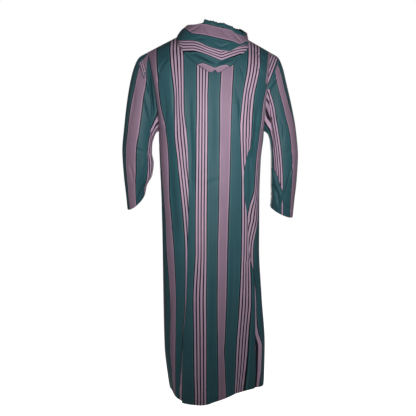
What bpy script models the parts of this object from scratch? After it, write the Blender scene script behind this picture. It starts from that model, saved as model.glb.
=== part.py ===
"""A hooded, striped thobe as worn: back, front, two sleeves, two hood halves and the hood's casing.

Metres, +Z up. The origin is the middle of the neck's base, level with the top of the shoulder seams.
The wearer faces -Y, so the back and the lowered hood face +Y, and the wearer's left is +X.
Every piece is a cloth wall lofted through sections that are worked out from the sizes below. Its inner
side is set off along normals that are squared to the seams, so that the gaps at the seams stay even.
"""
import math

import bmesh
import bpy
import numpy as np

CLOTH = 0.0016
TURNED_UP = 0.0028
SEAM_GAP = 0.0003
HEM_HEIGHT = 0.018

NECK_HALF = 0.098
NECK_BACK = 0.072
NECK_FRONT = 0.082
NECK_POINT_DROP = 0.006
NECK_BACK_DROP = 0.016
NECK_FRONT_DROP = 0.074
SLIT_HALF = 0.012
SLIT_LENGTH = 0.130

SHOULDER_DROP = 0.083
UNDERARM_DROP = 0.390
ROUNDING = 0.105
FULLNESS = 2.5
UPPER_ROWS = 10
UPPER_SPREAD = 1.5
LOWER_ROWS = 15
HEM_NARROWING = 0.82
LEAN_START = 0.03
LEAN_WIDTH = 0.13
TANGENT_STEP = 0.002
PANEL_EDGE_TILT = 0.3
SLEEVE_EDGE_TILT = 0.2

GREEN = (0.05, 0.13, 0.15)
MAUVE = (0.32, 0.22, 0.30)


def table(columns, *rows):
    """A table's columns by name, each an array down its rows. The first column is the place."""
    return dict(zip(columns.split(), np.array(rows, float).T))


def along(rows, column, place):
    """The smooth value of a column at a place in the table, with no overshoot between its rows."""
    key = rows[next(iter(rows))]
    value = rows[column]
    step = np.diff(key)
    slope = np.diff(value) / step
    tangent = np.concatenate(([slope[0]], np.zeros(len(slope) - 1), [slope[-1]]))
    for i in range(1, len(slope)):
        if slope[i - 1] * slope[i] > 0:
            tangent[i] = 2 * slope[i - 1] * slope[i] / (slope[i - 1] + slope[i])
    place = np.clip(place, key[0], key[-1])
    i = np.clip(np.searchsorted(key, place) - 1, 0, len(step) - 1)
    t = (place - key[i]) / step[i]
    return (value[i] * (1 + 2 * t) * (1 - t) ** 2 + value[i + 1] * t * t * (3 - 2 * t)
            + step[i] * (tangent[i] * t * (1 - t) ** 2 - tangent[i + 1] * t * t * (1 - t)))


# Half widths and depths of the body, down from the neck. lean draws the back in on the wearer's right.
BODY = table("drop left right back front lean",
             (0.000, 0.205, 0.211, 0.088, 0.088, 0.00),
             (0.100, 0.205, 0.211, 0.110, 0.106, 0.00),
             (0.200, 0.205, 0.211, 0.125, 0.122, 0.00),
             (0.300, 0.205, 0.211, 0.130, 0.130, 0.00),
             (0.390, 0.205, 0.211, 0.128, 0.128, 0.00),
             (0.500, 0.202, 0.200, 0.124, 0.124, 0.00),
             (0.650, 0.196, 0.195, 0.124, 0.121, 0.02),
             (0.850, 0.192, 0.195, 0.132, 0.122, 0.06),
             (1.050, 0.190, 0.206, 0.143, 0.129, 0.12),
             (1.250, 0.186, 0.220, 0.157, 0.139, 0.20),
             (1.380, 0.172, 0.218, 0.170, 0.146, 0.28),
             (1.460, 0.158, 0.212, 0.176, 0.150, 0.32))

# The hem's height across the back and the front.
BACK_HEM = table("x drop", (-0.22, 1.412), (-0.10, 1.408), (-0.03, 1.432), (0.03, 1.448),
                 (0.08, 1.448), (0.12, 1.438), (0.16, 1.412))
FRONT_HEM = table("x drop", (-0.22, 1.412), (-0.08, 1.418), (0.05, 1.424), (0.16, 1.412))

# Valley folds: where each lies across the panel, its half width and its depth, down from the neck.
BACK_FOLDS = (
    table("drop x half deep", (0.00, -0.098, 0.012, 0.000), (0.38, -0.120, 0.012, 0.000),
          (0.46, -0.128, 0.012, 0.006), (0.56, -0.133, 0.012, 0.010), (0.63, -0.137, 0.012, 0.011),
          (0.74, -0.149, 0.013, 0.013), (0.88, -0.150, 0.013, 0.014), (1.05, -0.168, 0.014, 0.015),
          (1.25, -0.180, 0.014, 0.016), (1.46, -0.180, 0.014, 0.016)),
    table("drop x half deep", (0.00, 0.098, 0.012, 0.000), (0.30, 0.100, 0.012, 0.000),
          (0.39, 0.100, 0.012, 0.004), (0.50, 0.092, 0.012, 0.008), (0.62, 0.090, 0.012, 0.010),
          (0.74, 0.093, 0.013, 0.012), (0.88, 0.095, 0.013, 0.014), (1.05, 0.101, 0.014, 0.015),
          (1.25, 0.116, 0.014, 0.016), (1.46, 0.124, 0.015, 0.017)))
FRONT_FOLDS = (
    table("drop x half deep", (0.00, -0.098, 0.012, 0.000), (0.44, -0.098, 0.013, 0.000),
          (0.70, -0.104, 0.016, 0.007), (1.00, -0.116, 0.018, 0.012), (1.46, -0.126, 0.020, 0.016)),
    table("drop x half deep", (0.00, 0.098, 0.012, 0.000), (0.50, 0.092, 0.013, 0.000),
          (0.80, 0.086, 0.016, 0.008), (1.10, 0.090, 0.018, 0.012), (1.46, 0.098, 0.020, 0.015)))

# Sleeve sections, from the armhole to the cuff: the outer and inner lines seen from behind, how far
# the section's middle lies towards the back, its half depth, and how far its back hangs below its front.
LEFT_SLEEVE = table("row outX outZ inX inZ middle half dip",
                    (0.0, 0.250, -0.083, 0.205, -0.390, 0.000, 0.058, 0.000),
                    (1.0, 0.281, -0.102, 0.212, -0.394, 0.001, 0.063, 0.000),
                    (2.0, 0.300, -0.138, 0.218, -0.402, 0.002, 0.066, 0.000),
                    (3.0, 0.316, -0.196, 0.225, -0.420, 0.002, 0.067, 0.000),
                    (4.0, 0.330, -0.275, 0.231, -0.445, 0.002, 0.066, 0.001),
                    (5.0, 0.342, -0.372, 0.232, -0.478, 0.001, 0.064, 0.003),
                    (6.0, 0.351, -0.470, 0.226, -0.516, -0.004, 0.061, 0.007),
                    (7.0, 0.347, -0.560, 0.232, -0.562, -0.013, 0.058, 0.012),
                    (8.0, 0.340, -0.640, 0.255, -0.606, -0.026, 0.055, 0.017),
                    (9.0, 0.336, -0.696, 0.263, -0.640, -0.038, 0.053, 0.022))
RIGHT_SLEEVE = table("row outX outZ inX inZ middle half dip",
                     (0.0, 0.236, -0.083, 0.211, -0.390, 0.000, 0.058, 0.000),
                     (1.0, 0.266, -0.102, 0.218, -0.394, 0.001, 0.063, 0.000),
                     (2.0, 0.284, -0.142, 0.225, -0.402, 0.002, 0.066, 0.000),
                     (3.0, 0.300, -0.206, 0.232, -0.422, 0.002, 0.067, 0.000),
                     (4.0, 0.320, -0.290, 0.236, -0.450, 0.002, 0.066, 0.001),
                     (5.0, 0.338, -0.385, 0.238, -0.490, 0.001, 0.064, 0.002),
                     (6.0, 0.348, -0.490, 0.239, -0.535, -0.004, 0.061, 0.004),
                     (7.0, 0.345, -0.580, 0.240, -0.590, -0.013, 0.058, 0.007),
                     (8.0, 0.338, -0.665, 0.242, -0.645, -0.026, 0.055, 0.010),
                     (9.0, 0.333, -0.732, 0.240, -0.690, -0.038, 0.053, 0.013))
SLEEVE_RINGS = 16
ARMHOLE_BLEND = 2.5
ARMHOLE_TUCK = {1: 0.012, -1: 0.005}

# The hood's halves by the turn round the neck, from the middle of the back to the throat: the rim, the
# fold at the bottom of the hanging pocket, the pocket's thickness there, how far its near side stands
# off the back, and how high the cloth stands up from the neck seam.
LEFT_HOOD = table("turn rimX rimY rimZ foldX foldY foldZ open raised stand",
                  (0, -0.045, 0.120, 0.001, -0.016, 0.153, -0.173, 0.013, 0.009, 0.020),
                  (25, 0.003, 0.122, 0.010, 0.024, 0.152, -0.158, 0.013, 0.009, 0.020),
                  (45, 0.031, 0.115, 0.015, 0.054, 0.145, -0.138, 0.012, 0.010, 0.018),
                  (65, 0.058, 0.100, 0.013, 0.084, 0.132, -0.110, 0.012, 0.013, 0.015),
                  (85, 0.086, 0.070, 0.015, 0.119, 0.102, -0.068, 0.011, 0.012, 0.013),
                  (105, 0.103, 0.026, 0.021, 0.139, 0.042, -0.021, 0.010, 0.005, 0.014),
                  (125, 0.110, -0.036, 0.014, 0.132, -0.034, -0.014, 0.009, 0.000, 0.020),
                  (145, 0.083, -0.072, -0.002, 0.094, -0.080, -0.028, 0.009, 0.000, 0.018),
                  (160, 0.050, -0.088, -0.026, 0.056, -0.100, -0.048, 0.008, 0.000, 0.020),
                  (173, 0.018, -0.100, -0.046, 0.020, -0.108, -0.062, 0.007, 0.000, 0.020))
RIGHT_HOOD = table("turn rimX rimY rimZ foldX foldY foldZ open raised stand",
                   (0, 0.045, 0.120, 0.001, 0.016, 0.153, -0.173, 0.013, 0.009, 0.020),
                   (25, 0.072, 0.118, -0.008, 0.052, 0.150, -0.160, 0.013, 0.009, 0.020),
                   (45, 0.098, 0.109, -0.022, 0.086, 0.143, -0.140, 0.012, 0.010, 0.018),
                   (65, 0.122, 0.093, -0.028, 0.116, 0.126, -0.106, 0.012, 0.008, 0.013),
                   (85, 0.136, 0.064, -0.024, 0.148, 0.086, -0.070, 0.011, 0.003, 0.009),
                   (105, 0.138, 0.026, -0.006, 0.156, 0.034, -0.030, 0.010, 0.002, 0.012),
                   (125, 0.121, -0.038, 0.006, 0.137, -0.034, -0.018, 0.009, 0.000, 0.020),
                   (145, 0.086, -0.072, -0.004, 0.096, -0.080, -0.030, 0.009, 0.000, 0.018),
                   (160, 0.052, -0.088, -0.026, 0.058, -0.100, -0.048, 0.008, 0.000, 0.020),
                   (173, 0.018, -0.100, -0.046, 0.020, -0.108, -0.062, 0.007, 0.000, 0.020))
HOOD_STATIONS = 16
HOOD_STEPS = (2, 2, 2, 2, 2, 2, 3, 3)
STAND_OUT = 0.008
FOLD_HALF = 0.55
FOLD_RISE = 0.8
HALVES_MEET = 25

# The casing's outline as shares of its height and thickness.
CASING_OUTLINE = ((0.0, 0.10), (0.30, 0.50), (0.80, 0.42), (1.0, 0.0), (0.80, -0.42), (0.30, -0.50),
                  (0.0, -0.10))
CASING_HIGH = 0.014
CASING_THICK = 0.0044
CASING_GAP = 0.00075
CASING_LEAN_GAP = 0.0014
CASING_GATHERS = 22
GATHER_DEEP = 0.0016
STEPS_A_GATHER = 4

# How far the casing leans into the hood, in degrees, by the turn: below 0 on the right half.
CASING_LEAN = table("turn degrees", (-173, 0), (-20, 0), (22, 0), (42, 60), (62, 95), (100, 95), (125, 30),
                    (140, 0), (173, 0))


def unit(vectors):
    """Each vector along the last axis, made one long."""
    return vectors / np.maximum(np.linalg.norm(vectors, axis=-1, keepdims=True), 1e-12)


def grid_normals(points, looped=False):
    """Normals of a grid of points from its neighbours down (axis 0) and across (axis 1)."""
    down = np.gradient(points, axis=0)
    if looped:
        across = np.roll(points, -1, axis=1) - np.roll(points, 1, axis=1)
    else:
        across = np.gradient(points, axis=1)
    return unit(np.cross(down, across))


def body_edge(side, face, drop):
    """Where a panel ends at the side: on the armhole above the underarm, on the side seam below it."""
    if drop >= UNDERARM_DROP:
        return np.array([side * along(BODY, "left" if side > 0 else "right", drop), 0.0])
    sleeve = LEFT_SLEEVE if side > 0 else RIGHT_SLEEVE
    drop = max(drop, SHOULDER_DROP)
    middle = (SHOULDER_DROP + UNDERARM_DROP) / 2
    cosine = np.clip((middle - drop) / (UNDERARM_DROP - middle), -1, 1)
    sine = math.sqrt(1 - cosine ** 2)
    x = (sleeve["outX"][0] + sleeve["inX"][0]) / 2 + (sleeve["outX"][0] - sleeve["inX"][0]) / 2 * cosine
    return np.array([side * (x - ARMHOLE_TUCK[side] * sine), face * sleeve["half"][0] * sine])


def body_row(face, drop, samples=48):
    """One level section of a panel from the wearer's right to left: x, y and the length along it."""
    depth = along(BODY, "back" if face > 0 else "front", drop)
    turn = np.linspace(0, math.pi / 2, samples)
    halves = []
    for side in (-1, 1):
        x_edge, y_edge = body_edge(side, face, drop)
        x = x_edge * np.sin(turn) ** (2 / FULLNESS)
        y = y_edge + (face * depth - y_edge) * np.abs(np.cos(turn)) ** (2 / FULLNESS)
        y[-1] = y_edge
        halves.append((x, y))
    x = np.concatenate((halves[0][0][::-1], halves[1][0][1:]))
    y = np.concatenate((halves[0][1][::-1], halves[1][1][1:]))
    if face > 0:
        drawn_in = along(BODY, "lean", drop) * np.clip((LEAN_START - x) / LEAN_WIDTH, 0, 1) ** 1.5
        y = y * (1 - drawn_in)
    length = np.concatenate(([0.0], np.cumsum(np.hypot(np.diff(x), np.diff(y)))))
    return x, y, length


def panel_top(face, x, side_x):
    """The top edge of a panel: the neckline between the neck points, the shoulder seam outside them."""
    if abs(x) <= NECK_HALF:
        bow = 1 - (x / NECK_HALF) ** 2
        if face > 0:
            return NECK_BACK * math.sqrt(bow), NECK_POINT_DROP + NECK_BACK_DROP * bow
        slit = SLIT_LENGTH * max(0.0, 1 - abs(x) / SLIT_HALF)
        return -NECK_FRONT * math.sqrt(bow), NECK_POINT_DROP + NECK_FRONT_DROP * bow + slit
    slope = (SHOULDER_DROP - NECK_POINT_DROP) / (abs(side_x) - NECK_HALF)
    return 0.0, NECK_POINT_DROP + (abs(x) - NECK_HALF) * slope


def row_lines(face, drop, folds, columns):
    """The places along one section that the panel's columns pass through, as lengths along it."""
    x, y, length = body_row(face, drop)
    marks = [0.0]
    for fold in folds:
        centre = np.interp(along(fold, "x", drop), x, length)
        half = along(fold, "half", drop)
        marks.extend(centre + half * share for share in (-1.0, -0.5, 0.0, 0.5, 1.0))
        if fold is folds[0]:
            marks.extend(np.interp((-SLIT_HALF, 0.0, SLIT_HALF), x, length))
    marks.append(length[-1])
    places = [0.0]
    for start, stop, count in zip(marks, marks[1:], columns):
        places.extend(np.linspace(start, stop, count + 1)[1:])
    return x, y, length, np.array(places)


def fold_depth(drop, folds, x, length, places):
    """How far the cloth is drawn in at each place along a section by the panel's valley folds."""
    deep = np.zeros_like(places)
    for fold in folds:
        centre = np.interp(along(fold, "x", drop), x, length)
        share = np.clip((places - centre) / along(fold, "half", drop), -1, 1)
        deep += along(fold, "deep", drop) * np.cos(share * math.pi / 2) ** 2
    return deep


def panel(face, folds, hem):
    """The outer points of the back (face 1) or front (face -1), rows from the top to the hem."""
    columns = (4, 1, 1, 1, 1, 4, 1, 1, 4, 1, 1, 1, 1, 4)
    upper = (np.arange(UPPER_ROWS) / UPPER_ROWS) ** UPPER_SPREAD
    lower = np.linspace(0, 1, LOWER_ROWS + 1)[:-1]
    x_top, _, length, places = row_lines(face, SHOULDER_DROP, folds, columns)
    across_top = np.interp(places, length, x_top)
    edges = [panel_top(face, x, x_top[0] if x < 0 else x_top[-1]) for x in across_top]
    rows = []
    for band, shares in (("upper", upper), ("lower", lower), ("hem", (0.0, 1.0))):
        for share in shares:
            row = []
            for column, (top_y, top_drop) in enumerate(edges):
                bottom = along(hem, "drop", across_top[column] * HEM_NARROWING)
                drop = {"upper": top_drop + (UNDERARM_DROP - top_drop) * share,
                        "lower": UNDERARM_DROP + (bottom - HEM_HEIGHT - UNDERARM_DROP) * share,
                        "hem": bottom - HEM_HEIGHT * (1 - share)}[band]
                level = max(drop, SHOULDER_DROP)
                x, y, length, places = row_lines(face, level, folds, columns)
                place = places[column]
                deep = fold_depth(level, folds, x, length, places)[column]
                px, py = np.interp(place, length, x), np.interp(place, length, y)
                nearby = [place - TANGENT_STEP, place + TANGENT_STEP]
                ahead = np.diff(np.interp(nearby, length, x))[0]
                above = np.diff(np.interp(nearby, length, y))[0]
                out = unit(np.array([-above, ahead]))
                out = out * face if column not in (0, len(edges) - 1) else out * 0
                px, py = px - out[0] * deep, py - out[1] * deep
                reach = min((drop - top_drop) / ROUNDING, 1.0)
                py = top_y + (py - top_y) * math.sqrt(1 - (1 - reach) ** 2)
                row.append((px, py, -drop))
            rows.append(row)
    return np.array(rows)


def wall(name, outer, normals, thick, colour, looped=False):
    """A closed cloth wall from its outer points, its outward normals and its thickness at each row."""
    inner = outer - normals * np.broadcast_to(np.reshape(thick, (-1, 1, 1)), normals.shape)
    rows, columns = outer.shape[:2]
    made = bmesh.new()
    skins = [[[made.verts.new(point) for point in line] for line in skin] for skin in (outer, inner)]
    last = columns if looped else columns - 1
    for i in range(rows - 1):
        for j in range(last):
            k = (j + 1) % columns
            for skin in skins:
                made.faces.new((skin[i][j], skin[i + 1][j], skin[i + 1][k], skin[i][k]))
    for j in range(last):
        k = (j + 1) % columns
        for i in (0, rows - 1):
            made.faces.new((skins[0][i][j], skins[0][i][k], skins[1][i][k], skins[1][i][j]))
    if not looped:
        for i in range(rows - 1):
            for j in (0, columns - 1):
                made.faces.new((skins[0][i][j], skins[0][i + 1][j], skins[1][i + 1][j], skins[1][i][j]))
    bmesh.ops.recalc_face_normals(made, faces=made.faces)
    mesh = bpy.data.meshes.new(name)
    made.to_mesh(mesh)
    made.free()
    piece = bpy.data.objects.new(name, mesh)
    mesh.shade_smooth()
    mesh.materials.append(cloth(name + "_cloth", colour))
    thobe.objects.link(piece)
    return piece


def cloth(name, colour):
    """A plain woven cloth of one colour."""
    material = bpy.data.materials.new(name)
    material.use_nodes = True
    shader = material.node_tree.nodes["Principled BSDF"]
    shader.inputs["Base Color"].default_value = (*colour, 1)
    shader.inputs["Roughness"].default_value = 0.6
    shader.inputs["Metallic"].default_value = 0.0
    return material


def body_panel(name, face, folds, hem):
    """Builds a panel. Its edges stay square to the side and shoulder seams, half a gap from them."""
    outer = panel(face, folds, hem)
    normals = grid_normals(outer) * -face
    if (normals[len(normals) // 2, outer.shape[1] // 2, 1] * face) < 0:
        normals = -normals
    for column in (0, -1):
        normals[UPPER_ROWS:, column, 1] = 0
    seam = np.abs(outer[0, :, 0]) >= NECK_HALF - 0.001
    normals[0, seam] = (0, 0, 1)
    normals[1:UPPER_ROWS, (0, -1), 0] *= PANEL_EDGE_TILT
    normals = unit(normals)
    outer[UPPER_ROWS:, (0, -1), 1] += face * SEAM_GAP / 2
    outer[0, seam, 1] += face * SEAM_GAP / 2
    thick = np.full(len(outer), CLOTH)
    thick[-2:] = TURNED_UP
    wall(name, outer, normals, thick, GREEN)
    return outer


def sleeve(name, side, sections, front, back, colour):
    """A tube from the armhole's own points down to the cuff."""
    middle = (SHOULDER_DROP + UNDERARM_DROP) / 2
    column = -1 if side > 0 else 0
    loop = np.concatenate((back[:UPPER_ROWS + 1, column], front[UPPER_ROWS - 1:0:-1, column]))
    cosine = np.clip((loop[:, 2] + middle) / (UNDERARM_DROP - middle), -1, 1)
    sine = np.sqrt(1 - cosine ** 2) * np.where(np.arange(len(loop)) <= UPPER_ROWS, 1, -1)
    rings = []
    for row in np.linspace(0, sections["row"][-1], SLEEVE_RINGS):
        at = {key: along(sections, key, row) for key in sections}
        ring = np.stack((side * ((at["outX"] + at["inX"]) / 2 + (at["outX"] - at["inX"]) / 2 * cosine),
                         at["middle"] + at["half"] * sine,
                         (at["outZ"] + at["inZ"]) / 2 + (at["outZ"] - at["inZ"]) / 2 * cosine
                         - at["dip"] * sine), axis=1)
        if not rings:
            to_armhole = loop - ring
        rings.append(ring + to_armhole * max(0.0, 1 - row / ARMHOLE_BLEND) ** 2)
    rings[0][0, 1] = rings[0][UPPER_ROWS, 1] = 0.0
    cuff = rings[-1] + (rings[-2] - rings[-1]) * HEM_HEIGHT / np.linalg.norm(
        rings[-2] - rings[-1], axis=1, keepdims=True)
    rings.insert(-1, cuff)
    outer = np.array(rings)
    outer[0, :, 0] += side * SEAM_GAP
    normals = grid_normals(outer, looped=True) * side
    centre = outer.mean(axis=1, keepdims=True)
    if np.mean(np.sum(normals * (outer - centre), axis=2)) < 0:
        normals = -normals
    normals[0, :, 0] *= SLEEVE_EDGE_TILT
    normals = unit(normals)
    thick = np.full(len(outer), CLOTH)
    thick[-2:] = TURNED_UP
    wall(name, outer, normals, thick, colour, looped=True)


def neckline(side, turn):
    """A point of the neckline at a turn in degrees from the middle of the back."""
    across, along_y = math.sin(math.radians(turn)), math.cos(math.radians(turn))
    deep = NECK_BACK if along_y > 0 else NECK_FRONT
    fall = NECK_BACK_DROP if along_y > 0 else NECK_FRONT_DROP
    return np.array([side * NECK_HALF * across, deep * along_y, -NECK_POINT_DROP - fall * along_y ** 2])


def rounded_path(marks, steps):
    """Points on a smooth curve through the marks, with so many steps from each mark to the next."""
    ends = np.vstack((2 * marks[0] - marks[1], marks, 2 * marks[-1] - marks[-2]))
    points = []
    for a, b, c, d, count in zip(ends, ends[1:], ends[2:], ends[3:], steps):
        for t in np.arange(count) / count:
            points.append(0.5 * (2 * b + (c - a) * t + (2 * a - 5 * b + 4 * c - d) * t * t
                                 + (3 * b - a - 3 * c + d) * t ** 3))
    points.append(marks[-1])
    return np.array(points)


def hood_section(side, sections, turn):
    """The hood's cloth at one turn: up from the neck seam, over, down to the fold and up to the rim."""
    at = {key: along(sections, key, turn) for key in sections}
    seam = neckline(side, turn)
    out = np.array([side * math.sin(math.radians(turn)), math.cos(math.radians(turn)), 0.0])
    up = np.array([0.0, 0.0, 1.0])
    rim = np.array([side * at["rimX"], at["rimY"], at["rimZ"]])
    fold = np.array([side * at["foldX"], at["foldY"], at["foldZ"]])
    stand = seam + up * at["stand"] + out * STAND_OUT
    down = unit(fold - (stand + rim) / 2)
    fold_line = np.array([[side * along(sections, "foldX", t), along(sections, "foldY", t),
                           along(sections, "foldZ", t)] for t in (turn - 1, turn + 1)])
    apart = unit(np.cross(fold_line[1] - fold_line[0], down)) * side
    apart = out + (apart - out) * min(turn / HALVES_MEET, 1)
    apart = unit(apart - down * np.dot(apart, down))
    near = fold - at["open"] * (apart * FOLD_HALF + down * FOLD_RISE)
    far = fold + at["open"] * (apart * FOLD_HALF - down * FOLD_RISE)
    marks = np.array([seam + up * SEAM_GAP * 2,
                      stand,
                      stand * 0.67 + near * 0.33 + apart * at["raised"],
                      stand * 0.32 + near * 0.68 + apart * at["raised"] * 0.8,
                      near,
                      fold,
                      far,
                      far * 0.5 + rim * 0.5 + apart * at["open"] * 0.5,
                      rim])
    return rounded_path(marks, HOOD_STEPS)


def hood_half(name, side, sections, colour):
    """One half of the lowered hood, from its middle seam round to the throat."""
    turns = np.linspace(0, sections["turn"][-1], HOOD_STATIONS)
    outer = np.array([hood_section(side, sections, turn) for turn in turns])
    outer[0, :, 0] += side * SEAM_GAP / 2
    normals = grid_normals(outer)
    middle = normals[2, -4]
    if middle[1] < 0:
        normals = -normals
    normals[0, :, 0] = 0
    normals = unit(normals)
    wall(name, outer, normals, np.full(len(outer), CLOTH), colour)
    return outer, normals


def casing(name, halves, colour):
    """The gathered strip along the hood's rim, set just past the edge of both halves."""
    (left, left_normals), (right, right_normals) = halves
    path = np.vstack((left[::-1, -1], right[1:, -1]))
    before = np.vstack((left[::-1, -2], right[1:, -2]))
    faces = np.vstack((left_normals[::-1, -1], right_normals[1:, -1]))
    rise = unit(path - before)
    out = unit(faces - np.sum(faces * rise, axis=1, keepdims=True) * rise)
    turns = np.linspace(LEFT_HOOD["turn"][-1], -RIGHT_HOOD["turn"][-1], len(path))
    lean = np.radians(along(CASING_LEAN, "degrees", turns))[:, None]
    path = path - out * CLOTH / 2 + rise * (CASING_GAP + CASING_LEAN_GAP * np.sin(lean))
    rise, out = rise * np.cos(lean) - out * np.sin(lean), out * np.cos(lean) + rise * np.sin(lean)
    length = np.concatenate(([0], np.cumsum(np.linalg.norm(np.diff(path, axis=0), axis=1))))
    places = np.linspace(0, length[-1], CASING_GATHERS * STEPS_A_GATHER + 1)
    pick = [np.stack([np.interp(places, length, field[:, axis]) for axis in range(3)], axis=1)
            for field in (path, rise, out)]
    swell = np.sin(places / length[-1] * CASING_GATHERS * 2 * math.pi)
    rings = []
    for base, up, side, wave in zip(*pick, swell):
        rings.append([base + up * CASING_HIGH * high
                      + side * (CASING_THICK * wide + GATHER_DEEP * wave * high)
                      for high, wide in CASING_OUTLINE])
    made = bmesh.new()
    verts = [[made.verts.new(point) for point in ring] for ring in rings]
    count = len(CASING_OUTLINE)
    for ring, following in zip(verts, verts[1:]):
        for j in range(count):
            made.faces.new((ring[j], ring[(j + 1) % count], following[(j + 1) % count], following[j]))
    made.faces.new(verts[0])
    made.faces.new(verts[-1])
    bmesh.ops.recalc_face_normals(made, faces=made.faces)
    mesh = bpy.data.meshes.new(name)
    made.to_mesh(mesh)
    made.free()
    mesh.shade_smooth()
    mesh.materials.append(cloth(name + "_cloth", colour))
    thobe.objects.link(bpy.data.objects.new(name, mesh))


for old in list(bpy.data.objects):
    bpy.data.objects.remove(old, do_unlink=True)
thobe = bpy.data.collections.new("hooded_thobe")
bpy.context.scene.collection.children.link(thobe)

back_points = body_panel("back", 1, BACK_FOLDS, BACK_HEM)
front_points = body_panel("front", -1, FRONT_FOLDS, FRONT_HEM)
sleeve("sleeve_left", 1, LEFT_SLEEVE, front_points, back_points, MAUVE)
sleeve("sleeve_right", -1, RIGHT_SLEEVE, front_points, back_points, MAUVE)
hood_halves = (hood_half("hood_left", 1, LEFT_HOOD, MAUVE), hood_half("hood_right", -1, RIGHT_HOOD, MAUVE))
casing("hood_casing", hood_halves, GREEN)
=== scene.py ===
# Hooded striped thobe as worn, seen from behind: cloth shells, stripes, creases and stitches
import math

import bpy
import numpy as np
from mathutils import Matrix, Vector


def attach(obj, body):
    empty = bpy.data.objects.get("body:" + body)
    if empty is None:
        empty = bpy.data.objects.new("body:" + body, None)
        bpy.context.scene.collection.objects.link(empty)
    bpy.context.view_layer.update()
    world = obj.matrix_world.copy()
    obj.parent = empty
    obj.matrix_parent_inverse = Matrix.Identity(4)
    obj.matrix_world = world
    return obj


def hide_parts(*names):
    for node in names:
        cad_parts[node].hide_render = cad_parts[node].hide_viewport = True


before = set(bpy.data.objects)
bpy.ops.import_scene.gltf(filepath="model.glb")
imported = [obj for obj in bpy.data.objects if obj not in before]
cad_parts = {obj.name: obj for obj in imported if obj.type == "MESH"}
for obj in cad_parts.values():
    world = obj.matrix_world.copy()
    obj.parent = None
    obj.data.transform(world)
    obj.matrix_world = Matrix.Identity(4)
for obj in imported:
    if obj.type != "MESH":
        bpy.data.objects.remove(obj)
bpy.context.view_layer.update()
bpy.ops.object.select_all(action="DESELECT")
print("frame loaded")


# what every piece shares: lengths in metres, angles in degrees, the rest shares and powers
cut = {
    "clothThick": 0.0012,
    "hemHeight": 0.018,
    "hemThick": 0.0024,
    "neckHalf": 0.098,
    "neckBack": 0.072,
    "neckFront": 0.082,
    "neckPointDrop": 0.006,
    "neckBackDrop": 0.016,
    "neckFrontDrop": 0.074,
    "slitHalf": 0.012,
    "slitLength": 0.130,
    "shoulderDrop": 0.083,
    "underarmDrop": 0.390,
    "rounding": 0.105,
    "fullness": 2.5,
    "hemNarrowing": 0.82,
    "leanStart": 0.03,
    "leanWidth": 0.13,
    "leanPower": 1.5,
    "creaseEnds": 0.8,
    "seamGap": 0.0003,
    "weldWithin": 0.00001,
    "smoothAngle": 60,
}

# the cloth's stripes: the distance between their middles, and half of a band and of a group of lines
stripes = {
    "pitch": 0.092,
    "bandHalf": 0.0215,
    "linesHalf": 0.01975,
}


# columns that hold counts, degrees or shares, where all others are in millimetres
plainColumns = ("row", "turn", "degrees", "lean", "open")


# a table's columns by name, each an array in metres, where the first column is the place
def table(columns, *rows):
    values = np.array(rows, float).T
    return {name: value if name in plainColumns else value / 1000
            for name, value in zip(columns.split(), values)}


# the smooth value of a column at some places in the table, with no overshoot between rows
def along(rows, column, place):
    key = rows[next(iter(rows))]
    value = rows[column]
    step = np.diff(key)
    slope = np.diff(value) / step
    tangent = np.concatenate(([slope[0]], np.zeros(len(slope) - 1), [slope[-1]]))
    for i in range(1, len(slope)):
        if slope[i - 1] * slope[i] > 0:
            tangent[i] = 2 * slope[i - 1] * slope[i] / (slope[i - 1] + slope[i])
    place = np.clip(place, key[0], key[-1])
    i = np.clip(np.searchsorted(key, place) - 1, 0, len(step) - 1)
    t = (place - key[i]) / step[i]
    return (value[i] * (1 + 2 * t) * (1 - t) ** 2 + value[i + 1] * t * t * (3 - 2 * t)
            + step[i] * (tangent[i] * t * (1 - t) ** 2 - tangent[i + 1] * t * t * (1 - t)))


# half widths and depths of the body, down from the neck
body = table(
    "drop left right back front lean",
    (0, 205, 211, 88, 88, 0), (100, 205, 211, 110, 106, 0), (200, 205, 211, 125, 122, 0),
    (300, 205, 211, 130, 130, 0), (390, 205, 211, 128, 128, 0), (500, 202, 200, 124, 124, 0),
    (650, 196, 195, 124, 121, 0.02), (850, 192, 195, 132, 122, 0.06), (1050, 190, 206, 143, 129, 0.12),
    (1250, 186, 220, 157, 139, 0.2), (1380, 172, 218, 170, 146, 0.28), (1460, 158, 212, 176, 150, 0.32))

# sleeve sections from the armhole to the cuff
leftSleeve = table(
    "row outX outZ inX inZ middle half dip",
    (0, 250, -83, 205, -390, 0, 58, 0), (1, 281, -102, 212, -394, 1, 63, 0),
    (2, 300, -138, 218, -402, 2, 66, 0), (3, 316, -196, 225, -420, 2, 67, 0),
    (4, 330, -275, 231, -445, 2, 66, 1), (5, 342, -372, 232, -478, 1, 64, 3),
    (6, 351, -470, 226, -516, -4, 61, 7), (7, 347, -560, 232, -562, -13, 58, 12),
    (8, 340, -640, 255, -606, -26, 55, 17), (9, 336, -696, 263, -640, -38, 53, 22))
rightSleeve = table(
    "row outX outZ inX inZ middle half dip",
    (0, 236, -83, 211, -390, 0, 58, 0), (1, 266, -102, 218, -394, 1, 63, 0),
    (2, 284, -142, 225, -402, 2, 66, 0), (3, 300, -206, 232, -422, 2, 67, 0),
    (4, 320, -290, 236, -450, 2, 66, 1), (5, 338, -385, 238, -490, 1, 64, 2),
    (6, 348, -490, 239, -535, -4, 61, 4), (7, 345, -580, 240, -590, -13, 58, 7),
    (8, 338, -665, 242, -645, -26, 55, 10), (9, 333, -732, 240, -690, -38, 53, 13))
armhole = {1: {"sleeve": leftSleeve, "tuck": 0.012}, -1: {"sleeve": rightSleeve, "tuck": 0.005}}
armholeMiddle = (cut["shoulderDrop"] + cut["underarmDrop"]) / 2
armholeHalf = cut["underarmDrop"] - armholeMiddle


def unit(vectors):
    return vectors / np.maximum(np.linalg.norm(vectors, axis=-1, keepdims=True), 1e-12)


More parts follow.
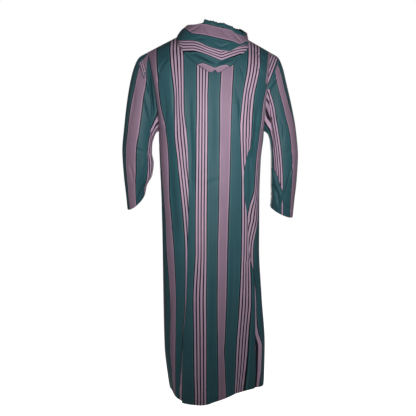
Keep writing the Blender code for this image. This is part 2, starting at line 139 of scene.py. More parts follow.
# the length along a path up to each of its points, from its columns
def runLength(*axes):
    return np.concatenate(([0.0], np.cumsum(np.linalg.norm(np.diff(axes), axis=0))))


# where a path is at some lengths along it
def pathAt(places, length, path):
    return np.stack([np.interp(places, length, path[:, axis]) for axis in range(3)], axis=-1)


def gridNormals(points, looped=False):
    down = np.gradient(points, axis=0)
    if looped:
        # the last column repeats the first one
        ring = points[:, :-1]
        across = np.roll(ring, -1, axis=1) - np.roll(ring, 1, axis=1)
        across = np.concatenate((across, across[:, :1]), axis=1)
    else:
        across = np.gradient(points, axis=1)
    return unit(np.cross(down, across))


# the camera: what it looks at, how far off and how high it is, and its lens
view = {
    "target": (0.01, 0.0, -0.696),
    "away": 3.2,
    "elevation": 5.0,
    "focalPixels": 800.0,
    "framePixels": 416,
    "sensor": 36.0,
}


def camera():
    target = Vector(view["target"])
    tilt = math.radians(view["elevation"])
    place = target + Vector((0, math.cos(tilt), math.sin(tilt))) * view["away"]
    bpy.ops.object.camera_add(location=place)
    made = bpy.context.object
    made.name = "photoCamera"
    made.rotation_euler = (target - place).to_track_quat("-Z", "Y").to_euler()
    made.data.sensor_width = view["sensor"]
    made.data.lens = view["sensor"] * view["focalPixels"] / view["framePixels"]
    bpy.context.scene.camera = made


camera()


# turns a flat grid into a piece of cloth through the points, with its own map in metres
def clothSheet(name, points, cloth, outward, looped=False, hemRows=0, jumpFrom=None):
    rows, columns = points.shape[:2]
    bpy.ops.object.select_all(action="DESELECT")
    bpy.ops.mesh.primitive_grid_add(x_subdivisions=columns - 1, y_subdivisions=rows - 1, size=1)
    sheet = bpy.context.object
    sheet.name = name
    sheet.data.name = name
    mesh = sheet.data
    flat = np.empty(len(mesh.vertices) * 3)
    mesh.vertices.foreach_get("co", flat)
    flat = flat.reshape(-1, 3)
    column = np.rint((flat[:, 0] + 0.5) * (columns - 1)).astype(int)
    row = np.rint((flat[:, 1] + 0.5) * (rows - 1)).astype(int)
    mesh.vertices.foreach_set("co", points[row, column].astype(np.float32).ravel())
    corner = np.empty(len(mesh.loops), dtype=np.int32)
    mesh.loops.foreach_get("vertex_index", corner)
    chart = cloth[row[corner], column[corner]]
    if jumpFrom is not None:
        # a seam hidden in the plain green brings the next stripe on
        middle = chart[:, 0].reshape(-1, 4).mean(axis=1)
        chart[:, 0] += np.repeat(np.where(middle > jumpFrom, stripes["pitch"], 0.0), 4)
    layer = mesh.uv_layers[0]
    layer.name = "cloth"
    layer.data.foreach_set("uv", chart.astype(np.float32).ravel())
    mesh.update()
    facing = np.empty(len(mesh.polygons) * 3)
    mesh.polygons.foreach_get("normal", facing)
    first = corner[::4]
    if np.sum(facing.reshape(-1, 3) * outward[row[first], column[first]]) < 0:
        mesh.flip_normals()
    turnedUp = sheet.vertex_groups.new(name="turnedUp")
    if hemRows:
        turnedUp.add([int(i) for i in np.nonzero(row >= rows - 1 - hemRows)[0]], 1.0, "REPLACE")
    if looped:
        bpy.ops.object.mode_set(mode="EDIT")
        bpy.ops.mesh.select_all(action="SELECT")
        bpy.ops.mesh.remove_doubles(threshold=cut["weldWithin"])
        bpy.ops.object.mode_set(mode="OBJECT")
    thicken = sheet.modifiers.new("thickness", "SOLIDIFY")
    thicken.thickness = cut["hemThick"]
    thicken.vertex_group = turnedUp.name
    thicken.thickness_vertex_group = cut["clothThick"] / cut["hemThick"]
    thicken.offset = -1.0
    bpy.ops.object.modifier_apply(modifier=thicken.name)
    sheet.vertex_groups.clear()
    bpy.ops.object.shade_smooth_by_angle(angle=math.radians(cut["smoothAngle"]))
    return sheet


# how far soft troughs and ridges push the cloth in, each along its own short path. A row holds its half
# width, its depth (below 0 for a ridge) and the places (x, z) of its path, in millimetres
def creaseDepth(flatPlaces, creases):
    total = np.zeros(flatPlaces.shape[:-1])
    for crease in creases:
        half, depth, *path = np.array(crease, float) / 1000
        path = np.reshape(path, (-1, 2))
        lengths = runLength(*path.T)
        nearest = np.full(total.shape, np.inf)
        share = np.zeros(total.shape)
        for a, b, start, stop in zip(path, path[1:], lengths, lengths[1:]):
            run = b - a
            t = np.clip(((flatPlaces - a) @ run) / (run @ run), 0, 1)
            away = np.linalg.norm(flatPlaces - a - t[..., None] * run, axis=-1)
            closer = away < nearest
            nearest = np.where(closer, away, nearest)
            share = np.where(closer, (start + (stop - start) * t) / lengths[-1], share)
        fade = np.sin(np.clip(share, 0, 1) * math.pi) ** cut["creaseEnds"]
        total += depth * fade * np.cos(np.clip(nearest / half, 0, 1) * math.pi / 2) ** 2
    return total


# the place on a round section between its inner and outer side, by the cosine of the turn
def roundFrom(inner, outer, cosine):
    return (outer + inner) / 2 + (outer - inner) / 2 * cosine


def bodyEdge(side, face, drop):
    if drop >= cut["underarmDrop"]:
        return side * along(body, "left" if side > 0 else "right", drop), 0.0
    sleeve = armhole[side]["sleeve"]
    drop = max(drop, cut["shoulderDrop"])
    cosine = np.clip((armholeMiddle - drop) / armholeHalf, -1, 1)
    sine = math.sqrt(1 - cosine ** 2)
    x = roundFrom(sleeve["inX"][0], sleeve["outX"][0], cosine)
    return side * (x - armhole[side]["tuck"] * sine), face * sleeve["half"][0] * sine


# one level section of a panel from the wearer's right to left
def bodyRow(face, drop, samples=48):
    depth = along(body, "back" if face > 0 else "front", drop)
    turn = np.linspace(0, math.pi / 2, samples)
    halves = []
    for side in (-1, 1):
        edgeX, edgeY = bodyEdge(side, face, drop)
        x = edgeX * np.sin(turn) ** (2 / cut["fullness"])
        y = edgeY + (face * depth - edgeY) * np.abs(np.cos(turn)) ** (2 / cut["fullness"])
        y[-1] = edgeY
        halves.append((x, y))
    x = np.concatenate((halves[0][0][::-1], halves[1][0][1:]))
    y = np.concatenate((halves[0][1][::-1], halves[1][1][1:]))
    if face > 0:
        reach = np.clip((cut["leanStart"] - x) / cut["leanWidth"], 0, 1)
        y = y * (1 - along(body, "lean", drop) * reach ** cut["leanPower"])
    return x, y, runLength(x, y)


# the top edge of a panel: the neckline between the neck points, the shoulder seam outside them
def panelTop(face, x, sideX):
    if abs(x) <= cut["neckHalf"]:
        bow = 1 - (x / cut["neckHalf"]) ** 2
        if face > 0:
            return cut["neckBack"] * math.sqrt(bow), cut["neckPointDrop"] + cut["neckBackDrop"] * bow
        slit = cut["slitLength"] * max(0.0, 1 - abs(x) / cut["slitHalf"])
        return -cut["neckFront"] * math.sqrt(bow), cut["neckPointDrop"] + cut["neckFrontDrop"] * bow + slit
    slope = (cut["shoulderDrop"] - cut["neckPointDrop"]) / (abs(sideX) - cut["neckHalf"])
    return 0.0, cut["neckPointDrop"] + (abs(x) - cut["neckHalf"]) * slope


# the rows and columns of both panels, and how far their creases take to fade in
panelGrid = {
    "levels": 170,
    "upperRows": 70,
    "upperPower": 1.5,
    "lowerRows": 146,
    "hemRows": 6,
    "fadeColumns": 8,
    "fadeRows": 8,
    "faceColumns": 9,
    "slitColumns": 3,
    "slopeStep": 0.002,
    "neckMargin": 0.001,
}


# how the cloth lies where the middle of a panel folds over its sides
layers = {
    "middle": 0.0034,
    "runColumns": 6,
    "turnColumns": 6,
    "flatHalf": 0.012,
    "blend": 0.050,
}


# place and depth from the side cloth, in under the middle, round, out again and up over the fold's edge
def foldProfile(width, deep, opened):
    lie = layers["middle"]
    inner, outer = (deep - lie) / 2, lie / 2
    turn = np.linspace(0, math.pi, layers["turnColumns"] + 1)
    run = np.linspace(0, 1, layers["runColumns"] + 1)[:-1]
    reach = max(width, outer * 2)
    place = np.concatenate((reach * run, reach + inner * np.sin(turn),
                            (reach + (outer - reach) * run)[1:], outer - outer * np.sin(turn)))
    depth = np.concatenate((np.full(len(run), deep), deep - inner * (1 - np.cos(turn)),
                            np.full(len(run) - 1, lie), lie - outer * (1 - np.cos(turn))))
    flat = np.linspace(-layers["flatHalf"], layers["flatHalf"], len(place))
    return flat + (place - flat) * opened, depth * opened


# where a fold's edge lies at one level, and the cloth's own place on it and beneath it
def foldState(fold, level, x, length, middle):
    edge = np.interp(along(fold, "x", level), x, length)
    if "top" in fold:
        top, beneath = along(fold, "top", level), along(fold, "beneath", level)
    else:
        top = edge - middle
        beneath = top + math.copysign(along(fold, "hidden", level), top)
    return {"edge": edge, "top": top, "beneath": beneath, "open": along(fold, "open", level),
            "deep": along(fold, "deep", level)}


# reads a cloth place between known ones, and past their ends at the cloth's own scale
def spread(places, known, values):
    order = np.argsort(known)
    known, values = np.array(known)[order], np.array(values)[order]
    inside = np.interp(places, known, values)
    return inside + np.minimum(places - known[0], 0) + np.maximum(places - known[-1], 0)


# one level section: where each column lies, which way is out, and the cloth's place across
def section(face, level, spec):
    x, y, length = bodyRow(face, level)
    middle = np.interp(0.0, x, length)
    right, left = (foldState(fold, level, x, length, middle) for fold in spec["folds"])
    if spec["stripeEdges"] is None:
        known = {"middle": ([middle], [0.0]), "right": ([right["edge"]], [right["beneath"]]),
                 "left": ([left["edge"]], [left["beneath"]])}
    else:
        names = list(spec["edgeValues"])
        values = np.array([spec["edgeValues"][name] for name in names])
        places = np.interp([along(spec["stripeEdges"], name, level) for name in names], x, length)
        low = right["top"] if right["open"] > 0 else -math.inf
        high = left["top"] if left["open"] > 0 else math.inf
        keep = (values > low) & (values < high)
        ends = [(state["edge"], state["top"]) for state in (right, left) if state["open"] > 0]
        known = {"middle": (list(places[keep]) + [edge for edge, _ in ends],
                            list(values[keep]) + [top for _, top in ends])}
        for name, state, beyond in (("right", right, values < right["beneath"]),
                                    ("left", left, values > left["beneath"])):
            known[name] = known["middle"]
            if state["open"] > 0:
                known[name] = (list(places[beyond]) + [state["edge"]],
                               list(values[beyond]) + [state["beneath"]])
    parts = []
    reach = {}
    for name, state, sign in (("right", right, 1), ("left", left, -1)):
        width = abs(state["beneath"] - state["top"]) / 2
        place, depth = foldProfile(width, state["deep"], state["open"])
        run = runLength(place, depth)
        place = state["edge"] + sign * place
        ends = spread(place[0], *known[name]), spread(place[-1], *known["middle"])
        reach[name] = (place, depth, ends[0] + (ends[1] - ends[0]) * run / run[-1])
    for name, state, sign, start in (("right", right, 1, 0.0), ("left", left, -1, length[-1])):
        place = np.linspace(start, reach[name][0][0], spec["sideColumns"] + 1)[:-1]
        away = np.clip(np.abs(place - state["edge"]) / layers["blend"], 0, 1)
        depth = state["deep"] * state["open"] * np.cos(away * math.pi / 2) ** 2
        depth[0] = 0.0
        parts.append((place, depth, spread(place, *known[name])))
    slit = np.interp((-cut["slitHalf"], 0.0, cut["slitHalf"]), x, length)
    marks = np.concatenate(([reach["right"][0][-1]], slit, [reach["left"][0][-1]]))
    counts = [spec["middleColumns"]] + [panelGrid["slitColumns"]] * 2 + [spec["middleColumns"]]
    place = np.concatenate([np.linspace(a, b, count + 1)[1:]
                            for a, b, count in zip(marks, marks[1:], counts)])[:-1]
    centre = (place, np.zeros_like(place), spread(place, *known["middle"]))
    mirrored = [tuple(values[::-1] for values in group) for group in (reach["left"], parts[1])]
    place, depth, across = (np.concatenate(values)
                            for values in zip(parts[0], reach["right"], centre, *mirrored))
    step = panelGrid["slopeStep"]
    ahead, above = (np.interp(place + step, length, axis) - np.interp(place - step, length, axis)
                    for axis in (x, y))
    out = unit(np.stack((-above, ahead), axis=1)) * face
    out[[0, -1]] = 0
    px, py = np.interp(place, length, x), np.interp(place, length, y)
    return np.stack((px - out[:, 0] * depth, py - out[:, 1] * depth, out[:, 0], out[:, 1], across))


def panelPoints(face, spec):
    levels = np.linspace(cut["shoulderDrop"], body["drop"][-1], panelGrid["levels"])
    grid = np.array([section(face, level, spec) for level in levels])
    topX = grid[0, 0]
    edges = np.array([panelTop(face, value, topX[0] if value < 0 else topX[-1]) for value in topX])
    hems = along(spec["hem"], "drop", topX * cut["hemNarrowing"])
    upper = (np.arange(panelGrid["upperRows"]) / panelGrid["upperRows"]) ** panelGrid["upperPower"]
    lower = np.linspace(0, 1, panelGrid["lowerRows"] + 1)[:-1]
    hemShare = np.linspace(0, 1, panelGrid["hemRows"] + 1)
    drops = np.concatenate((
        edges[:, 1] + (cut["underarmDrop"] - edges[:, 1]) * upper[:, None],
        cut["underarmDrop"] + (hems - cut["hemHeight"] - cut["underarmDrop"]) * lower[:, None],
        hems - cut["hemHeight"] * (1 - hemShare[:, None])))
    points = np.empty(drops.shape + (3,))
    out = np.zeros(drops.shape + (3,))
    clothMap = np.empty(drops.shape + (2,))
    for column in range(drops.shape[1]):
        level = np.maximum(drops[:, column], cut["shoulderDrop"])
        x, y, outX, outY, across = (np.interp(level, levels, grid[:, k, column]) for k in range(5))
        reach = np.minimum((drops[:, column] - edges[column, 1]) / cut["rounding"], 1.0)
        points[:, column, 0] = x
        points[:, column, 1] = edges[column, 0] + (y - edges[column, 0]) * np.sqrt(1 - (1 - reach) ** 2)
        points[:, column, 2] = -drops[:, column]
        out[:, column, 0] = outX
        out[:, column, 1] = outY
        clothMap[:, column, 0] = across
        clothMap[:, column, 1] = drops[:, column]
    return points, out, clothMap


def bodyPanel(name, face, spec):
    points, out, clothMap = panelPoints(face, spec)
    points[panelGrid["upperRows"]:, (0, -1), 1] += face * cut["seamGap"] / 2
    top = np.abs(points[0, :, 0]) >= cut["neckHalf"] - panelGrid["neckMargin"]
    points[0, top, 1] += face * cut["seamGap"] / 2
    rows, columns = points.shape[:2]
    toSide = np.minimum(np.arange(columns), np.arange(columns)[::-1]) / panelGrid["fadeColumns"]
    toTop = np.arange(rows) / panelGrid["fadeRows"]
    fade = np.clip(toSide, 0, 1)[None, :] * np.clip(toTop, 0, 1)[:, None]
    points = points - out * (creaseDepth(points[..., (0, 2)], spec["creases"]) * fade)[..., None]
    normals = gridNormals(points)
    first, last = columns // 2 - panelGrid["faceColumns"], columns // 2 + panelGrid["faceColumns"]
    if np.sum(normals[:, first:last, 1]) * face < 0:
        normals = -normals
    return clothSheet(name, points, clothMap, normals, hemRows=panelGrid["hemRows"]), points, normals


def edgeValues(**stripeOfEdge):
    values = {}
    for name, number in stripeOfEdge.items():
        half = stripes["bandHalf"] if name.startswith("band") else stripes["linesHalf"]
        centre = stripes["pitch"] * (number + 0.5)
        values[name + "L"] = centre + half
        values[name + "R"] = centre - half
    return values


# creases and ridges of the two panels, in the rows that creaseDepth reads
backCreases = (
    (5.5, 6, 163, -112, 188, -141, 199, -169, 203, -211), (8, -2.5, 146, -106, 172, -140, 184, -176),
    (6.5, 5, -170, -80, -193, -105, -208, -127), (6, 4.5, -178, -143, -189, -161, -199, -190),
    (5.5, 5.8, -98, -220, -108, -304, -115, -401), (5.5, 4.8, -112, -140, -122, -172, -130, -205),
    (13, 5, 150, -150, 139, -243, 139, -350), (12, 5, -143, -215, -153, -289, -152, -375),
    (17, 5, 82, -236, 79, -368, 73, -501, 74, -640), (16, -3, 108, -220, 104, -360, 98, -480),
    (12, 6, -182, -290, -175, -387, -163, -490), (14, 5, -150, -480, -158, -596, -156, -700),
    (5, 5, 32, -1399, 6, -1387, -27, -1378), (18, 4, 168, -400, 158, -530, 145, -673, 124, -860),
    (22, 5, -11, -820, -19, -1040, -12, -1240, -6, -1400),
    (24, -3, 40, -860, 40, -1060, 44, -1260, 50, -1420),
    (16, 4.5, -88, -820, -84, -1043, -72, -1220, -64, -1380), (16, 4, 70, -940, 72, -1161, 84, -1360),
    (15, 6, 156, -1020, 170, -1190, 152, -1360), (12, 5, -186, -900, -190, -1043, -186, -1200),
    (22, 3, -1, -190, -5, -387, -1, -560), (10, 4, 182, -225, 172, -310, 176, -390),
    (22, -2.5, -50, -300, -52, -520, -48, -760), (16, 2.2, 150, -470, 96, -560, 40, -600),
    (18, 2, -60, -560, 10, -596, 76, -620),
)
frontCreases = (
    (9, 4.5, -168, -112, -186, -150, -196, -205), (9, 4, 160, -108, 184, -140, 194, -190),
    (11, 4.5, -100, -180, -120, -290, -128, -400), (12, 4.5, 112, -170, 132, -280, 142, -380),
    (18, 4, 40, -260, 50, -420, 52, -620), (18, 3.5, -46, -300, -50, -480, -44, -700),
    (22, -3, 4, -330, 0, -520, 6, -700), (14, 5, -170, -360, -160, -500, -150, -640),
    (15, 4.5, 172, -380, 160, -540, 146, -720), (24, 5, 10, -800, 16, -1060, 10, -1360),
    (18, 4, -56, -860, -62, -1100, -66, -1380), (17, 4, 58, -900, 50, -1140, 56, -1370),
    (14, 5, -166, -960, -178, -1160, -180, -1350), (14, 5, 148, -980, 150, -1180, 144, -1350),
    (17, 2.2, -120, -540, -60, -600, 10, -616),
)
back = {
    "sideColumns": 28,
    "middleColumns": 30,
    "hem": table(
        "x drop",
        (-220, 1412), (-100, 1408), (-30, 1432), (30, 1448), (80, 1448), (120, 1438), (160, 1412)),
    "folds": (
        table(
            "drop x top beneath deep open",
            (0, -126, -160, -160, 6, 0), (420, -157, -160, -160, 6, 0), (440, -156, -158, -160, 6, 0.05),
            (470, -148, -150, -163, 6, 0.5), (504, -138, -138, -166, 7, 1), (544, -130, -126, -166, 7, 1),
            (570, -128, -122, -167, 7, 1), (616, -129, -124, -170, 7, 1), (704, -141, -137, -198, 8, 1),
            (732, -145, -141, -207, 8, 1), (848, -150, -148, -226, 9, 1), (900, -160, -160, -236, 9, 1),
            (950, -172, -172, -242, 9, 1), (1045, -176, -176, -243, 9, 1), (1150, -177, -177, -243, 9, 1),
            (1243, -178, -178, -236, 10, 1), (1330, -180, -178, -237, 10, 1),
            (1460, -173, -176, -232, 10, 1)),
        table(
            "drop x top beneath deep open",
            (0, 100, 115, 115, 6, 0), (270, 100, 115, 115, 6, 0), (300, 100, 115, 116, 6, 0.02),
            (387, 94, 107, 118, 6, 0.8), (501, 86, 98, 118, 7, 1), (616, 84, 94, 127, 7, 1),
            (732, 86, 95, 139, 8, 1), (848, 89, 98, 148, 8, 1), (1045, 95, 95, 152, 9, 1),
            (1243, 110, 113, 153, 10, 1), (1460, 113, 119, 144, 10, 1))),
    "edgeValues": edgeValues(bandA=2, linesA=1, linesB=0, bandB=-1, linesC=-2, linesD=-3),
    "stripeEdges": table(
        "drop bandAL bandAR linesAL linesAR linesBL linesBR bandBL bandBR linesCL linesCR linesDL linesDR",
        (40, 256, 212, 157, 111, 51, 9, -44, -87, -148, -192, -248, -288),
        (130, 250, 208, 150, 103, 51, 9, -43, -86, -144, -189, -240, -280),
        (274, 235, 196, 137, 104, 51, 13, -37, -79, -122, -163, -205, -240),
        (387, 204, 173, 137, 94, 53, 13, -37, -76, -114, -158, -193, -206),
        (501, 195, 165, 127, 86, 54, 14, -35, -74, -119, -155, -179, -197),
        (616, 186, 163, 115, 84, 56, 15, -34, -71, -122, -132, -172, -191),
        (732, 176, 154, 105, 86, 57, 16, -32, -67, -123, -143, -149, -186),
        (848, 172, 144, 99, 89, 57, 16, -29, -64, -122, -151, -152, -170),
        (1045, 159, 136, 101, 95, 66, 18, -28, -60, -115, -158, -177, -186),
        (1180, 162, 138, 111, 106, 64, 17, -29, -55, -106, -148, -181, -193),
        (1243, 164, 139, 115, 110, 63, 17, -30, -52, -102, -144, -183, -206),
        (1330, 154, 140, 121, 112, 62, 17, -31, -56, -99, -136, -187, -205),
        (1403, 146, 140, 127, 113, 60, 17, -32, -59, -96, -127, -178, -197)),
    "creases": backCreases,
}
front = {
    "sideColumns": 26,
    "middleColumns": 28,
    "hem": table("x drop", (-220, 1412), (-80, 1418), (50, 1424), (160, 1412)),
    "folds": (
        table(
            "drop x hidden deep open",
            (0, -98, 0, 6, 0), (440, -100, 0, 6, 0), (480, -101, 2, 6, 0.05), (660, -104, 34, 7, 1),
            (1000, -116, 46, 9, 1), (1460, -126, 42, 10, 1)),
        table(
            "drop x hidden deep open",
            (0, 98, 0, 6, 0), (520, 94, 0, 6, 0), (560, 92, 2, 6, 0.05), (740, 88, 30, 7, 1),
            (1100, 92, 40, 9, 1), (1460, 98, 38, 10, 1))),
    "stripeEdges": None,
    "creases": frontCreases,
}

backSheet, backPoints, backNormals = bodyPanel("backCloth", 1, back)
frontSheet, frontPoints, frontNormals = bodyPanel("frontCloth", -1, front)
print("panels made")


# the rings and columns of both sleeves, counted from the armhole and from the seam
sleeveGrid = {
    "rings": 150,
    "fadeRings": 8,
    "hemRows": 4,
    "armholeRows": 2.5,
    "seamColumns": 4,
}


# a tube from the armhole's own points down to the cuff, its seam under the arm
def sleeveTube(name, side, spec):
    sections = armhole[side]["sleeve"]
    column = -1 if side > 0 else 0
    rows = panelGrid["upperRows"]
    loop = np.concatenate((backPoints[rows::-1, column], frontPoints[1:rows + 1, column]))
    cosine = np.clip((loop[:, 2] + armholeMiddle) / armholeHalf, -1, 1)
    sine = np.sqrt(1 - cosine ** 2) * np.where(np.arange(len(loop)) <= rows, 1, -1)
    rings, bulges = [], []
    for row in np.linspace(0, sections["row"][-1], sleeveGrid["rings"]):
        at = {key: along(sections, key, row) for key in sections}
        ring = np.stack((side * roundFrom(at["inX"], at["outX"], cosine),
                         at["middle"] + at["half"] * sine,
                         roundFrom(at["inZ"], at["outZ"], cosine) - at["dip"] * sine), axis=1)
        if not rings:
            toArmhole = loop - ring
        rings.append(ring + toArmhole * max(0.0, 1 - row / sleeveGrid["armholeRows"]) ** 2)
        bulges.append((rings[-1][:, 1] - at["middle"]) / at["half"])
    rings[0][(0, -1, rows), 1] = 0.0
    points = np.array(rings)
    points[0, :, 0] += side * cut["seamGap"]
    # the cloth's place across follows the turn round the arm, from the band that shows
    drop = -points[..., 2]
    outer, inner, band, wide = (along(spec["shown"], key, drop)
                                for key in ("outer", "inner", "band", "round"))
    centre, half = (outer + inner) / 2, (outer - inner) / 2
    turn = np.unwrap(np.arctan2((points[..., 0] * side - centre) / half, np.array(bulges)), axis=1)
    turn -= 2 * math.pi * np.round((turn[:, :1] + math.pi / 2) / (2 * math.pi))
    bandTurn = np.arcsin(np.clip((band - centre) / half, -1, 1))
    clothMap = np.empty(points.shape[:2] + (2,))
    clothMap[..., 0] = spec["bandCentre"] + side * wide * (turn - bandTurn)
    clothMap[..., 1] = runLength(*points.mean(axis=1).T)[:, None]
    flat = points[..., (0, 2)] * np.array((side, 1.0))
    for corners, start, across, down in spec["tucks"]:
        inside = insideOutline(flat, corners) & (points[..., 1] > 0)
        shown = start + across * (flat[..., 0] - corners[0][0]) + down * (flat[..., 1] - corners[0][1])
        clothMap[..., 0] = np.where(inside, shown, clothMap[..., 0])
    normals = gridNormals(points, looped=True)
    if np.mean(np.sum(normals * (points - points.mean(axis=1, keepdims=True)), axis=2)) < 0:
        normals = -normals
    columns = np.arange(points.shape[1])
    behind = np.where(np.abs(columns - rows / 2) <= rows / 2, 1.0, 0.0)
    pushed = (creaseDepth(flat, spec["creases"]) * behind
              + creaseDepth(flat, spec["frontCreases"]) * (1 - behind))
    pushed *= np.clip(np.arange(len(points)) / sleeveGrid["fadeRings"], 0, 1)[:, None]
    pushed *= np.clip(np.minimum(columns, columns[::-1]) / sleeveGrid["seamColumns"], 0, 1)
    points = points - normals * pushed[..., None]
    points[:, -1] = points[:, 0]
    made = clothSheet(name, points, clothMap, normals, looped=True, hemRows=sleeveGrid["hemRows"])
    return made, points, normals


# which places lie inside an outline of corners
def insideOutline(places, corners):
    x, z = places[..., 0], places[..., 1]
    inside = np.zeros(x.shape, bool)
    for (ax, az), (bx, bz) in zip(corners, corners[1:] + corners[:1]):
        if az != bz:
            crosses = (az > z) != (bz > z)
            inside ^= crosses & (x < ax + (z - az) * (bx - ax) / (bz - az))
    return inside


# "shown" gives the sleeve's outline as its stripes see it, the mauve band and the cloth's own roundness.
# A tuck has its outline (x, z), the cloth's place at its first corner, and how that changes along x and z
leftSpec = {
    "bandCentre": 0.230,
    "shown": table(
        "drop outer inner band round",
        (60, 266, 196, 262, 58), (102, 288, 198, 264, 58), (138, 303, 200, 266, 58),
        (196, 318, 202, 271, 58), (262, 329, 203, 284, 58), (322, 336, 205, 293, 58),
        (391, 344, 216, 302, 58), (463, 351, 230, 313, 58), (523, 350, 230, 315, 58),
        (604, 344, 252, 314, 56), (720, 337, 268, 309, 54)),
    "tucks": (([(0.2655, -0.113), (0.2790, -0.128), (0.260, -0.190), (0.249, -0.157)], 0.1277, 1.38, -0.43),),
    "creases": (
        (5, 6.5, 263, -245, 248, -310, 233, -366), (8, 3, 306, -462, 275, -466, 246, -474),
        (8, 4.5, 320, -515, 311, -549, 301, -592), (8, 5, 244, -460, 240, -503, 243, -555),
        (7.5, 18, 244, -130, 232, -200, 224, -290, 224, -350), (4.5, 6, 252, -158, 238, -186, 224, -222),
        (4.5, 5.5, 254, -196, 244, -224, 236, -252), (7, 5, 232, -355, 230, -398, 230, -435),
        (8, 4.5, 258, -592, 275, -632, 290, -676), (14, 3, 292, -200, 300, -280, 312, -360),
        (9, -2.5, 262, -500, 272, -560, 292, -610),
    ),
    "frontCreases": (
        (9, 4.5, 250, -250, 268, -320, 292, -372), (9, 4.5, 240, -420, 272, -450, 312, -462),
        (8, 4.5, 252, -500, 282, -520, 318, -524), (8, 3.5, 262, -566, 290, -580, 322, -578),
        (9, 4, 240, -140, 236, -190, 230, -240),
    ),
}
rightSpec = {
    "bandCentre": -0.322,
    "shown": table(
        "drop outer inner band round",
        (60, 252, 190, 226, 75), (102, 272, 194, 246, 75), (142, 287, 198, 260, 75),
        (206, 303, 206, 272, 75), (282, 320, 219, 293, 74), (342, 331, 226, 310, 65),
        (391, 340, 230, 324, 60), (463, 347, 237, 333, 61), (560, 347, 239.5, 336, 64),
        (660, 340, 241.5, 330, 71), (760, 334, 242, 328, 72)),
    "tucks": (([(0.229, -0.083), (0.269, -0.113), (0.254, -0.148), (0.225, -0.227), (0.213, -0.246),
                (0.203, -0.117)], -0.207, -1.00, 0.40),
              ([(0.236, -0.520), (0.248, -0.534), (0.262, -0.565), (0.289, -0.640), (0.281, -0.684),
                (0.283, -0.780), (0.220, -0.780), (0.220, -0.520)], -0.268, -0.20, 0.0)),
    "creases": (
        (4.5, 7, 262, -178, 240, -214, 216, -250), (8, 18, 226, -230, 222, -280, 226, -340, 236, -400),
        (5, 6.5, 226, -343, 242, -342, 258, -337), (5, 7, 325, -516, 304, -587, 286, -664),
        (6, 10, 242, -530, 262, -581, 285, -646), (10, 10, 246, -600, 262, -640, 272, -690),
        (8, 5, 234, -370, 242, -425, 241, -470), (8, 3.5, 270, -340, 284, -378, 282, -430),
        (8, 3.5, 290, -472, 312, -466, 334, -476), (8, 3.5, 284, -672, 304, -695, 326, -706),
        (9, -3, 280, -560, 276, -610, 288, -670),
    ),
    "frontCreases": (
        (9, 4.5, 246, -240, 266, -310, 290, -360), (9, 4.5, 246, -440, 276, -462, 316, -470),
        (8, 4.5, 250, -520, 284, -536, 322, -536), (8, 3.5, 254, -600, 286, -612, 322, -606),
        (9, 4, 236, -140, 234, -190, 228, -240),
    ),
}
leftSheet, leftPoints, leftNormals = sleeveTube("leftSleeveCloth", 1, leftSpec)
rightSheet, rightPoints, rightNormals = sleeveTube("rightSleeveCloth", -1, rightSpec)
print("sleeves made")


# the hood's halves by the turn round the neck: the rim, the fold at the bottom, and its thickness
leftHood = table(
    "turn rimX rimY rimZ foldX foldY foldZ parted raised stand",
    (0, -45, 120, 1, -16, 153, -162, 13, 9, 20), (8, -29, 120, 3, -3, 153, -171, 13, 9, 20),
    (25, 3, 122, 10, 24, 152, -158, 13, 9, 20), (45, 31, 115, 15, 54, 145, -138, 12, 10, 18),
    (65, 58, 100, 13, 84, 132, -110, 12, 13, 15), (85, 86, 70, 15, 119, 102, -68, 11, 12, 13),
    (105, 95, 26, 16, 129, 42, -27, 7, 3, 6), (125, 96, -36, 9, 120, -34, -21, 7, 0, 8),
    (145, 83, -72, -2, 94, -80, -28, 9, 0, 18), (160, 50, -88, -26, 56, -100, -48, 8, 0, 20),
    (173, 18, -100, -46, 20, -108, -62, 7, 0, 20))
rightHood = table(
    "turn rimX rimY rimZ foldX foldY foldZ parted raised stand",
    (0, 45, 120, 1, 16, 153, -162, 13, 9, 20), (8, 54, 120, -2, 28, 152, -172, 13, 9, 20),
    (25, 72, 118, -8, 52, 150, -160, 13, 9, 20), (45, 98, 109, -22, 86, 143, -140, 12, 10, 18),
    (65, 122, 93, -28, 116, 126, -106, 12, 8, 13), (85, 134, 64, -24, 144, 86, -70, 11, 3, 9),
    (105, 134, 26, -8, 146, 34, -33, 10, 2, 12), (125, 121, -38, 6, 137, -34, -18, 9, 0, 20),
    (145, 86, -72, -4, 96, -80, -30, 9, 0, 18), (160, 52, -88, -26, 58, -100, -48, 8, 0, 20),
    (173, 18, -100, -46, 20, -108, -62, 7, 0, 20))


# a stripe's edge that keeps one place on the cloth
def levelEdge(value, *places):
    return table("x z value", *((x, z, value) for x, z in places))


